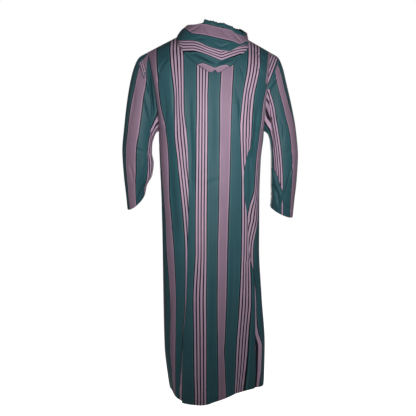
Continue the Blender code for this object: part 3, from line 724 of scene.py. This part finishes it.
hood = {
    "stations": 146,
    "steps": (14, 14, 14, 14, 14, 14, 56, 56),
    "standOut": 0.008,
    "foldHalf": 0.55,
    "foldRise": 0.8,
    "halvesMeet": 25,
    "foldColumn": 70,
    "stripesHeldFrom": 96,
    "seamDip": 0.0008,
    "seamWide": 0.003,
    # how much of the neck's stand and of the raising two places between it and the fold have
    "innerMarks": ((0.67, 1.0), (0.32, 0.8)),
    "faceSample": (18, -30),
    "smoothStations": 2,
    "creasesFrom": 4,
    "creasesFade": 12,
    # the mauve band's lower edge, just over the lines, both edges of the lines, the mauve tip's upper edge
    "edges": (
        levelEdge(-24.5, (-134, -50), (-111, -64), (-86, -54), (-54, -47), (-22, -40), (29, -29),
                  (71, -22), (91, -4), (110, 16)),
        levelEdge(20, (-136, -62), (-111, -69), (-94, -79), (-70, -93), (-33, -84), (8, -72), (46, -53),
                  (66, -47), (103, -46), (132, -41)),
        table("x z value", (-136, -65, 33.5), (-120, -70, 33.5), (-94, -82, 40), (-70, -96, 45),
              (-55, -92, 36), (-40, -89, 26.25), (8, -76, 26.25), (46, -57, 26.25), (66, -51, 26.25),
              (103, -50, 26.25), (132, -45, 26.25)),
        levelEdge(65.75, (-133, -98), (-113, -98), (-70, -115), (-41, -126), (-22, -119), (21, -101),
                  (62, -88), (109, -87), (120, -73)),
        levelEdge(116.5, (-90, -175), (-74, -152), (-59, -142), (-39, -147), (-16, -156), (8, -145),
                  (31, -137), (52, -144), (70, -175)),
    ),
    "creases": (
        (5.5, 12, 88, -92, 25, -122, -20, -141), (5.5, 12, -22, -142, -58, -127, -108, -106),
        (4.5, 7, 62, -108, 24, -124, 4, -136), (4.5, 7, -38, -142, -70, -128, -100, -117),
        (8, 3, 29, 10, 18, -11, -3, -40), (7, 3.5, 87, -16, 70, -8, 40, 6),
        (7, 4, -84, -22, -103, -41, -122, -60), (9, 3, 82, -56, 51, -44, 14, -44),
        (9, 3, -10, -62, -39, -76, -72, -64), (8, 2, -36, -6, -54, -26, -76, -38),
        (8, -2, 50, -66, 6, -82, -36, -94),
    ),
}


def neckline(side, turn):
    across, alongY = math.sin(math.radians(turn)), math.cos(math.radians(turn))
    deep = cut["neckBack"] if alongY > 0 else cut["neckFront"]
    fall = cut["neckBackDrop"] if alongY > 0 else cut["neckFrontDrop"]
    drop = cut["neckPointDrop"] + fall * alongY ** 2
    return np.array([side * cut["neckHalf"] * across, deep * alongY, -drop])


def roundedPath(marks, steps):
    ends = np.vstack((2 * marks[0] - marks[1], marks, 2 * marks[-1] - marks[-2]))
    points = []
    for a, b, c, d, count in zip(ends, ends[1:], ends[2:], ends[3:], steps):
        for t in np.arange(count) / count:
            points.append(0.5 * (2 * b + (c - a) * t + (2 * a - 5 * b + 4 * c - d) * t * t
                                 + (3 * b - a - 3 * c + d) * t ** 3))
    points.append(marks[-1])
    return np.array(points)


# the hood's cloth at one turn: up from the neck seam, over, down to the fold and up to the rim
def hoodSection(side, sections, turn):
    at = {key: along(sections, key, turn) for key in sections}
    seam = neckline(side, turn)
    out = np.array([side * math.sin(math.radians(turn)), math.cos(math.radians(turn)), 0.0])
    up = np.array([0.0, 0.0, 1.0])
    rim = np.array([side * at["rimX"], at["rimY"], at["rimZ"]])
    fold = np.array([side * at["foldX"], at["foldY"], at["foldZ"]])
    stand = seam + up * at["stand"] + out * hood["standOut"]
    down = unit(fold - (stand + rim) / 2)
    foldLine = np.array([[side * along(sections, "foldX", t), along(sections, "foldY", t),
                          along(sections, "foldZ", t)] for t in (turn - 1, turn + 1)])
    apart = unit(np.cross(foldLine[1] - foldLine[0], down)) * side
    apart = out + (apart - out) * min(turn / hood["halvesMeet"], 1)
    apart = unit(apart - down * np.dot(apart, down))
    near = fold - at["parted"] * (apart * hood["foldHalf"] + down * hood["foldRise"])
    far = fold + at["parted"] * (apart * hood["foldHalf"] - down * hood["foldRise"])
    inner = [stand * share + near * (1 - share) + apart * at["raised"] * raised
             for share, raised in hood["innerMarks"]]
    outer = (far + rim + apart * at["parted"]) / 2
    marks = np.array([seam + up * cut["seamGap"] * 2, stand, *inner, near, fold, far, outer, rim])
    return roundedPath(marks, hood["steps"])


# how far down from the rim each stripe edge of the hood is met, at one turn
def hoodEdges(section, fromRim):
    far = slice(None, hood["foldColumn"] - 1, -1)
    x, z, away = section[far, 0], section[far, 2], fromRim[far]
    met = []
    for edge in hood["edges"]:
        above = z - np.interp(x, edge["x"], edge["z"])
        below = np.nonzero(above < 0)[0]
        j = below[0] if len(below) else -1
        if j < 0:
            place = away[-1] + above[-1]
        elif j == 0:
            place = above[0]
        else:
            place = away[j - 1] + (away[j] - away[j - 1]) * above[j - 1] / (above[j - 1] - above[j])
        met.append((place, np.interp(x[j], edge["x"], edge["value"])))
    return np.transpose(met)


def hoodHalf(name, side, sections):
    turns = np.linspace(0, sections["turn"][-1], hood["stations"])
    points = np.array([hoodSection(side, sections, turn) for turn in turns])
    points[0, :, 0] += side * cut["seamGap"] / 2
    normals = gridNormals(points)
    if normals[hood["faceSample"]][1] < 0:
        normals = -normals
    runs = np.linalg.norm(np.diff(points, axis=1), axis=2)
    fromRim = np.concatenate((np.cumsum(runs[:, ::-1], axis=1)[:, ::-1], np.zeros((len(points), 1))), axis=1)
    met = np.array([hoodEdges(*pair) for pair in zip(points, fromRim)])
    lastSeen = int(np.searchsorted(turns, hood["stripesHeldFrom"]))
    met[lastSeen:] = met[lastSeen]
    around = runLength(*points[:, -1].T)
    clothMap = np.empty(points.shape[:2] + (2,))
    near = hood["smoothStations"]
    for i in range(len(points)):
        clothMap[i, :, 0] = spread(fromRim[i], *met[max(i - near, 0):i + near + 1].mean(axis=0))
        clothMap[i, :, 1] = around[i]
    pastFold = np.arange(points.shape[1]) - hood["foldColumn"]
    farShare = np.clip((pastFold - hood["creasesFrom"]) / hood["creasesFade"], 0, 1)
    pushed = creaseDepth(points[..., (0, 2)], hood["creases"]) * farShare
    pushed += hood["seamDip"] * np.exp(-(around / hood["seamWide"]) ** 2)[:, None] * farShare
    points = points - normals * pushed[..., None]
    return clothSheet(name, points, clothMap, normals, jumpFrom=stripes["pitch"]), points, normals


leftHalf, leftHoodPoints, leftHoodNormals = hoodHalf("leftHoodCloth", 1, leftHood)
rightHalf, rightHoodPoints, rightHoodNormals = hoodHalf("rightHoodCloth", -1, rightHood)
print("hood made")


# the gathered strip along the hood's rim, which leans into the hood where the cloth folds over it
casing = {
    "gathers": 22,
    "puckers": 61,
    "high": 0.0175,
    "thick": 0.0048,
    "deep": 0.0022,
    "puckerDeep": 0.0013,
    "perGather": 18,
    "gap": -0.0012,
    "leanGap": 0.0014,
    "riseFrom": -6,
    "clothWide": 0.03,
    "puckerLift": 0.05,
    "gatherWander": (0.7, 5),
    "puckerWander": (1.3, 9),
    "lean": table(
        "turn degrees",
        (-173, 0), (-20, 0), (38, 0), (48, 70), (62, 95), (100, 95), (125, 30), (140, 0), (173, 0)),
    "outline": ((0.0, 0.10), (0.12, 0.36), (0.30, 0.50), (0.55, 0.50), (0.80, 0.42), (0.95, 0.20), (1.0, 0.0),
                (0.95, -0.20), (0.80, -0.42), (0.55, -0.50), (0.30, -0.50), (0.12, -0.36), (0.0, -0.10)),
}


# one column of both hood halves, all round the rim from the front on the left
def rimField(left, right, column):
    return np.vstack((left[::-1, column], right[1:, column]))


def rimCasing(name):
    path = rimField(leftHoodPoints, rightHoodPoints, -1)
    before = rimField(leftHoodPoints, rightHoodPoints, casing["riseFrom"])
    facing = rimField(leftHoodNormals, rightHoodNormals, -1)
    rise = unit(path - before)
    out = unit(facing - np.sum(facing * rise, axis=1, keepdims=True) * rise)
    turns = np.linspace(leftHood["turn"][-1], -rightHood["turn"][-1], len(path))
    lean = np.radians(along(casing["lean"], "degrees", turns))[:, None]
    path = path - out * cut["clothThick"] / 2 + rise * (casing["gap"] + casing["leanGap"] * np.sin(lean))
    rise, out = rise * np.cos(lean) - out * np.sin(lean), out * np.cos(lean) + rise * np.sin(lean)
    length = runLength(*path.T)
    places = np.linspace(0, length[-1], casing["gathers"] * casing["perGather"] + 1)
    base, up, side = (pathAt(places, length, field) for field in (path, rise, out))
    turn = places / length[-1] * 2 * math.pi
    swell, pucker = (np.sin(turn * casing[count] + wander * np.sin(turn * times))
                     for count, (wander, times) in (("gathers", casing["gatherWander"]),
                                                    ("puckers", casing["puckerWander"])))
    rings = []
    for high, wide in casing["outline"]:
        bulge = casing["deep"] * swell + casing["puckerDeep"] * pucker * wide * 2
        push = casing["thick"] * wide + bulge * high
        lift = 1 + casing["puckerLift"] * pucker * high
        rings.append(base + up * (casing["high"] * high * lift)[:, None] + side * push[:, None])
    points = np.stack(rings, axis=1)
    shape = points.shape[:2]
    clothMap = np.stack((np.broadcast_to(np.linspace(0, casing["clothWide"], shape[1]), shape),
                         np.broadcast_to(places[:, None], shape)), axis=2)
    return clothSheet(name, points, clothMap, points - points.mean(axis=1, keepdims=True))


casingSheet = rimCasing("rimCasing")
print("casing made")


# mixes and sums in a node tree without a line for every link
class Tree:
    def __init__(self, nodeTree):
        self.nodes = nodeTree.nodes
        self.links = nodeTree.links

    def feed(self, node, inputs):
        for name, value in inputs.items():
            if hasattr(value, "is_output"):
                self.links.new(value, node.inputs[name])
            else:
                node.inputs[name].default_value = value

    def add(self, kind, inputs=None, **settings):
        node = self.nodes.new(kind)
        for name, value in settings.items():
            setattr(node, name, value)
        self.feed(node, inputs or {})
        return node

    def math(self, operation, *values):
        return self.add("ShaderNodeMath", dict(enumerate(values)), operation=operation).outputs[0]

    def mix(self, share, first, second, blend="MIX"):
        return self.add("ShaderNodeMix", {"Factor": share, 6: first, 7: second}, data_type="RGBA",
                        blend_type=blend).outputs[2]


# a new material, its tree and its main shader
def newMaterial(name):
    made = bpy.data.materials.new(name)
    made.use_nodes = True
    return made, Tree(made.node_tree), made.node_tree.nodes["Principled BSDF"]


def linear(red, green, blue):
    def one(value):
        value /= 255
        return value / 12.92 if value <= 0.04045 else ((value + 0.055) / 1.055) ** 2.4
    return (one(red), one(green), one(blue), 1.0)


# the colours of the yarns, as seen in even light
yarns = {
    "green": linear(50, 95, 104),
    "greenLine": linear(62, 112, 119),
    "outline": linear(12, 24, 32),
    "mauve": linear(158, 130, 152),
    "mauveEdge": linear(186, 156, 180),
    "lineLight": linear(206, 176, 200),
    "lineDark": linear(32, 24, 40),
}


# edges of lines from the middle out, sizes of the threads in metres, and how far tone and shine vary
weaving = {
    "soft": 0.0004,
    "bandEdge": 0.0040,
    "lines": ((0.00225, "lineLight"), (0.00875, "lineDark"), (0.01325, "lineLight")),
    "outlineTo": 0.0042,
    "greenLineTo": 0.0074,
    "streakScale": (900.0, 14.0, 1.0),
    "streakDetail": 3.0,
    "streakTone": (0.34, 0.83),
    "dyeScale": 9.0,
    "dyeDetail": 4.0,
    "dyeTone": (0.24, 0.88),
    "warpPitch": 0.0009,
    "weftPitch": 0.0011,
    "threadHeight": 0.3,
    "roughness": (0.16, 0.46),
    "bumpStrength": 0.18,
    "bumpDistance": 0.0004,
    "sheen": 0.04,
    "sheenRoughness": 0.4,
    "specular": 0.3,
    "casingShift": 0.078,
}


# the colours from a stripe's middle outward: its own, then the dark outline, the pale line and the ground
def stripeRamp(tree, distance, half, *stops):
    span = stripes["pitch"] / 2
    stops += ((half, "outline"), (half + weaving["outlineTo"], "greenLine"),
              (half + weaving["greenLineTo"], "green"))
    ramp = tree.add("ShaderNodeValToRGB", {0: tree.math("DIVIDE", distance, span)})
    before = yarns[stops[0][1]]
    places = [(0.0, before)]
    for at, name in stops[1:]:
        places += [((at - weaving["soft"]) / span, before), ((at + weaving["soft"]) / span, yarns[name])]
        before = yarns[name]
    elements = ramp.color_ramp.elements
    while len(elements) < len(places):
        elements.new(1.0)
    for element, (at, colour) in zip(elements, places):
        element.position = at
        element.color = colour
    return ramp.outputs[0]


# the striped cloth's colours and its fine height, from a map in metres
def stripedWeave():
    group = bpy.data.node_groups.new("stripedWeave", "ShaderNodeTree")
    for name, way, kind in (("Cloth", "INPUT", "Vector"), ("Color", "OUTPUT", "Color"),
                            ("Height", "OUTPUT", "Float"), ("Roughness", "OUTPUT", "Float")):
        group.interface.new_socket(name, in_out=way, socket_type="NodeSocket" + kind)
    tree = Tree(group)
    cloth = tree.add("NodeGroupInput").outputs["Cloth"]
    split = tree.add("ShaderNodeSeparateXYZ", {0: cloth})
    number = tree.math("DIVIDE", split.outputs["X"], stripes["pitch"])
    whole = tree.math("FLOOR", number)
    offCentre = tree.math("ABSOLUTE", tree.math("SUBTRACT", tree.math("SUBTRACT", number, whole), 0.5))
    distance = tree.math("MULTIPLY", offCentre, stripes["pitch"])
    # every third stripe is a band, and the two between are groups of lines
    cycle = tree.math("FLOORED_MODULO", tree.math("ADD", whole, 1.0), 3.0)
    isBand = tree.math("LESS_THAN", cycle, 0.5)
    half = stripes["bandHalf"]
    band = stripeRamp(tree, distance, half, (0.0, "mauve"), (half - weaving["bandEdge"], "mauveEdge"))
    lines = stripeRamp(tree, distance, stripes["linesHalf"], (0.0, "lineDark"), *weaving["lines"])
    colour = tree.mix(isBand, lines, band)
    # fine streaks along the warp, and a broad unevenness of the dye
    streak = tree.add("ShaderNodeMapping", {"Scale": weaving["streakScale"], "Vector": cloth})
    fine, broad = (tree.add("ShaderNodeTexNoise", {"Scale": scale, "Detail": detail, "Vector": vector},
                            noise_dimensions="2D").outputs[0]
                   for scale, detail, vector in ((1.0, weaving["streakDetail"], streak.outputs[0]),
                                                 (weaving["dyeScale"], weaving["dyeDetail"], cloth)))
    tone = tree.math("MULTIPLY", tree.math("MULTIPLY_ADD", fine, *weaving["streakTone"]),
                     tree.math("MULTIPLY_ADD", broad, *weaving["dyeTone"]))
    grey = tree.add("ShaderNodeCombineColor", {0: tone, 1: tone, 2: tone}).outputs[0]
    # threads of a plain weave, warp over weft
    warp = tree.math("SINE", tree.math("MULTIPLY", split.outputs["X"], 2 * math.pi / weaving["warpPitch"]))
    weft = tree.math("SINE", tree.math("MULTIPLY", split.outputs["Y"], 2 * math.pi / weaving["weftPitch"]))
    thread = tree.math("MULTIPLY", tree.math("MULTIPLY", warp, weft), weaving["threadHeight"])
    tree.add("NodeGroupOutput", {"Color": tree.mix(1.0, colour, grey, "MULTIPLY"),
                                 "Height": tree.math("ADD", thread, fine),
                                 "Roughness": tree.math("MULTIPLY_ADD", fine, *weaving["roughness"])})
    return group


weave = stripedWeave()


def clothMaterial(name, shift=0.0):
    made, tree, shader = newMaterial(name)
    chart = tree.add("ShaderNodeUVMap", uv_map="cloth")
    place = tree.add("ShaderNodeMapping", {"Location": (shift, 0.0, 0.0), "Vector": chart.outputs[0]})
    pattern = tree.add("ShaderNodeGroup", node_tree=weave)
    tree.feed(pattern, {"Cloth": place.outputs[0]})
    bump = tree.add("ShaderNodeBump", {"Strength": weaving["bumpStrength"],
                                       "Distance": weaving["bumpDistance"],
                                       "Height": pattern.outputs["Height"]})
    tree.feed(shader, {"Base Color": pattern.outputs["Color"], "Roughness": pattern.outputs["Roughness"],
                       "Normal": bump.outputs[0], "Sheen Weight": weaving["sheen"],
                       "Sheen Roughness": weaving["sheenRoughness"],
                       "Specular IOR Level": weaving["specular"]})
    return made


striped = clothMaterial("stripedCloth")
casingGreen = clothMaterial("casingCloth", weaving["casingShift"])
for piece in (backSheet, frontSheet, leftSheet, rightSheet, leftHalf, rightHalf):
    piece.data.materials.append(striped)
casingSheet.data.materials.append(casingGreen)
print("cloth coloured")


# one stitch is a small oval bead, and each row of sewing is many copies of it in one mesh
sewing = {
    "pitch": 0.0036,
    "length": 0.0026,
    "width": 0.00055,
    "height": 0.00040,
    "proud": 0.2,
    "slitRow": 12,
    "slitMargin": 0.004,
    "rimColumn": -4,
    "beadSides": 6,
    "beadRings": 4,
    "twistScale": 700.0,
    "twistDark": 0.6,
    "roughness": 0.55,
}


def beadShape():
    bpy.ops.object.select_all(action="DESELECT")
    bpy.ops.mesh.primitive_uv_sphere_add(segments=sewing["beadSides"], ring_count=sewing["beadRings"],
                                         radius=0.5)
    bead = bpy.context.object
    bead.rotation_euler = (0.0, math.pi / 2, 0.0)
    bpy.ops.object.transform_apply(location=False, rotation=True, scale=False)
    corners = np.array([vertex.co[:] for vertex in bead.data.vertices])
    faces = [list(face.vertices) for face in bead.data.polygons]
    shape = bead.data
    bpy.data.objects.remove(bead)
    bpy.data.meshes.remove(shape)
    return corners * np.array((sewing["length"], sewing["width"], sewing["height"])), faces


def sewnRow(name, rows, thread):
    corners, faces = beadShape()
    everyCorner, everyFace = [], []
    for path, normals in rows:
        length = runLength(*path.T)
        for place in np.arange(sewing["pitch"] / 2, length[-1], sewing["pitch"]):
            start, end = (pathAt(place + sign * sewing["length"] / 2, length, path) for sign in (-1, 1))
            up = unit(pathAt(place, length, normals))
            forward = unit(end - start)
            side = unit(np.cross(up, forward))
            turn = np.stack((forward, side, np.cross(forward, side)))
            first = len(everyCorner) * len(corners)
            everyCorner.append(corners @ turn + (start + end) / 2 + up * sewing["height"] * sewing["proud"])
            everyFace.extend([first + index for index in face] for face in faces)
    shape = bpy.data.meshes.new(name)
    shape.from_pydata(np.concatenate(everyCorner).tolist(), [], everyFace)
    shape.materials.append(thread)
    row = bpy.data.objects.new(name, shape)
    bpy.context.collection.objects.link(row)
    bpy.ops.object.select_all(action="DESELECT")
    row.select_set(True)
    bpy.context.view_layer.objects.active = row
    bpy.ops.object.shade_smooth()
    return row


def threadMaterial(name, colour):
    made, tree, shader = newMaterial(name)
    spot = tree.add("ShaderNodeTexCoord").outputs["Object"]
    twist = tree.add("ShaderNodeTexNoise", {"Scale": sewing["twistScale"], "Vector": spot})
    darker = tuple(value * sewing["twistDark"] for value in colour[:3]) + (1.0,)
    tree.feed(shader, {"Base Color": tree.mix(twist.outputs[0], darker, colour),
                       "Roughness": sewing["roughness"]})
    return made


thread = threadMaterial("greenThread", linear(46, 80, 88))
hemRow, cuffRow = -panelGrid["hemRows"], -sleeveGrid["hemRows"]
slitColumns = np.abs(frontPoints[0, :, 0]) <= cut["slitHalf"] + sewing["slitMargin"]
slit = (sewing["slitRow"], slitColumns)
rimPath = rimField(leftHoodPoints, rightHoodPoints, sewing["rimColumn"])
rimNormals = rimField(leftHoodNormals, rightHoodNormals, sewing["rimColumn"])
for name, rows in (("hemStitches", ((backPoints[hemRow], backNormals[hemRow]),
                                    (frontPoints[hemRow], frontNormals[hemRow]))),
                   ("cuffStitches", ((leftPoints[cuffRow], leftNormals[cuffRow]),
                                     (rightPoints[cuffRow], rightNormals[cuffRow]))),
                   ("slitStitches", ((frontPoints[slit], frontNormals[slit]),)),
                   ("casingStitches", ((rimPath, rimNormals),))):
    row = sewnRow(name, rows, thread)
    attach(row, "root")
print("seams sewn")


# the solid and slot of each cloth, and the cut of what shows: flat width and length, and area, in metres
for piece, node, slot, flat, held, area in (
        (backSheet, "back", "striped_cloth", (0.66, 1.44), "draped", 0.90),
        (frontSheet, "front", "striped_cloth", (0.62, 1.42), "draped", 0.82),
        (leftSheet, "sleeve_left", "striped_cloth", (0.40, 0.60), "draped", 0.19),
        (rightSheet, "sleeve_right", "striped_cloth", (0.40, 0.62), "draped", 0.19),
        (leftHalf, "hood_left", "striped_cloth", (0.36, 0.30), "draped", 0.075),
        (rightHalf, "hood_right", "striped_cloth", (0.36, 0.26), "draped", 0.065),
        (casingSheet, "hood_casing", "plain_cloth", (0.044, 0.75), "gathered", 0.028)):
    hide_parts(node)
    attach(piece, "root")


studio = {
    "floorHeight": -1.62,
    "floorRadius": 14.0,
    "floorPale": 0.9,
    "floorOwn": 0.985,
    "ambient": 0.06,
    # name, place, what it is aimed at, its size, its power and how wide it spreads in degrees
    "lights": (("keyBehind", (-0.16, 1.30, -0.36), (0.0, 0.0, -0.38), 0.45, 4.15, 106),
               ("fillBehind", (0.9, 2.6, 0.4), (0.0, 0.0, -0.6), 1.2, 1.6, 180),
               ("fillLeft", (2.4, 0.3, 0.3), (0.0, 0.0, -0.6), 1.2, 5, 180),
               ("fillRight", (-2.4, 0.3, 0.3), (0.0, 0.0, -0.6), 1.2, 4.5, 180),
               ("keyFront", (0.3, -1.5, -0.5), (0.0, 0.0, -0.5), 0.6, 8, 150),
               ("fillFront", (-1.0, -2.4, -0.2), (0.0, 0.0, -0.7), 1.4, 4, 180)),
}


# a white floor whose own paleness the camera sees, over its paler shadows
def floorPaint():
    paint, tree, shader = newMaterial("paleFloor")
    seen = tree.add("ShaderNodeLightPath").outputs["Is Camera Ray"]
    tree.feed(shader, {"Base Color": (studio["floorPale"],) * 3 + (1,), "Roughness": studio["floorPale"],
                       "Emission Color": (1, 1, 1, 1),
                       "Emission Strength": tree.math("MULTIPLY", seen, studio["floorOwn"])})
    return paint


def stageAndLights():
    bpy.ops.mesh.primitive_circle_add(vertices=96, radius=studio["floorRadius"], fill_type="NGON",
                                      location=(0, 0, studio["floorHeight"]))
    floor = bpy.context.object
    floor.name = "paleFloor"
    floor.data.materials.append(floorPaint())
    for name, place, aim, size, power, wide in studio["lights"]:
        bpy.ops.object.light_add(type="AREA", location=place)
        lamp = bpy.context.object
        lamp.name = name
        lamp.rotation_euler = (Vector(aim) - Vector(place)).to_track_quat("-Z", "Y").to_euler()
        lamp.data.size = size
        lamp.data.energy = power
        lamp.data.spread = math.radians(wide)
        lamp.visible_camera = False
    world = bpy.data.worlds.new("studio")
    bpy.context.scene.world = world
    world.use_nodes = True
    tree = Tree(world.node_tree)
    seen = tree.add("ShaderNodeLightPath").outputs["Is Camera Ray"]
    strength = tree.math("MULTIPLY_ADD", seen, 1 - studio["ambient"], studio["ambient"])
    tree.feed(world.node_tree.nodes["Background"], {"Color": (1, 1, 1, 1), "Strength": strength})
    bpy.context.scene.view_settings.view_transform = "Standard"


stageAndLights()
print("studio lit")
